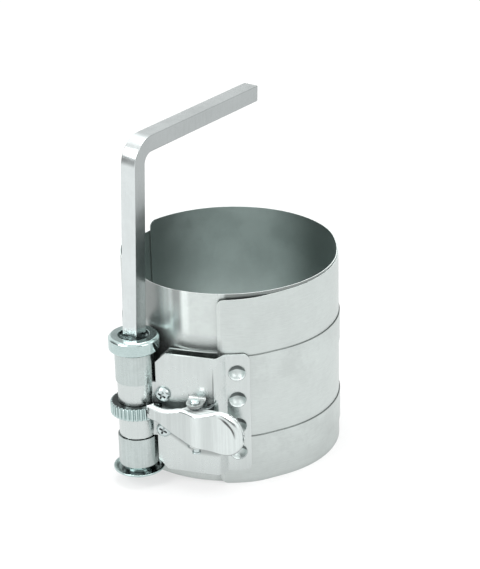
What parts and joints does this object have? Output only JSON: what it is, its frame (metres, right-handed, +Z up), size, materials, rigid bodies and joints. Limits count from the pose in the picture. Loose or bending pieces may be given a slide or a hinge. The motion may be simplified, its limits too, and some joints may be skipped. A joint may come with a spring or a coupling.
{
  "type": "piston ring compressor",
  "caption": "Wound steel sleeve drawn tight by tension bands on a socketed spindle, with a ratchet wheel, a thumb-released pawl and a bent square crank key.",
  "frame": {"origin": "on the sleeve's axis, in the plane of the sleeve's lower edge", "axes": "+Z up along the sleeve's axis, towards the crank key's arm; -Y towards the bracket and ratchet, whose front plate is parallel to X"},
  "size_m": [0.0854, 0.1, 0.1377],
  "materials": {
    "sleeve_strip": "satin tempered spring steel",
    "band_strip": "satin spring steel band",
    "coil_strip": "darker edge-on spring steel",
    "pressed_plate": "satin pressed sheet",
    "drawn_cup": "drawn sheet, smooth",
    "lever_plate": "satin plated sheet",
    "bright_zinc": "bright zinc plate",
    "small_hardware": "bright zinc plate",
    "spring_wire": "drawn spring wire",
    "key_bar": "satin plated square bar"
  },
  "bodies": {
    "frame": {"sleeve": "sleeve_strip", "upper_band": "band_strip", "lower_band": "band_strip", "bracket": "pressed_plate", "clinch_cups": "drawn_cup", "clamp_screws": "small_hardware", "threaded_spacers": "small_hardware", "pivot_pin": "small_hardware", "pin_clip": "small_hardware", "pawl_spring": "spring_wire"},
    "spindle": {"spindle": "bright_zinc", "top_collar": "bright_zinc", "bottom_flange": "bright_zinc", "ratchet_wheel": "bright_zinc", "upper_coil": "coil_strip", "lower_coil": "coil_strip"},
    "key": {"crank_key": "key_bar"},
    "pawl": {"pawl_lever": "lever_plate"}
  },
  "joints": [
    {"name": "spindle_turn", "type": "hinge", "parent": "frame", "child": "spindle", "pos_m": [-0.02234, -0.04704, 0.03], "axis": [0, 0, 1], "range_deg": [-580, 1000]},
    {"name": "key_lift", "type": "slide", "parent": "spindle", "child": "key", "axis": [0.0326, 0.0123, 0.9994], "range_m": [0, 0.02]},
    {"name": "pawl_turn", "type": "hinge", "parent": "frame", "child": "pawl", "pos_m": [0.00262, -0.0514, 0.028], "axis": [0, 0, 1], "range_deg": [0, 14], "stiffness_Nm_per_rad": 0.03, "springref_deg": -5.73}
  ]
}
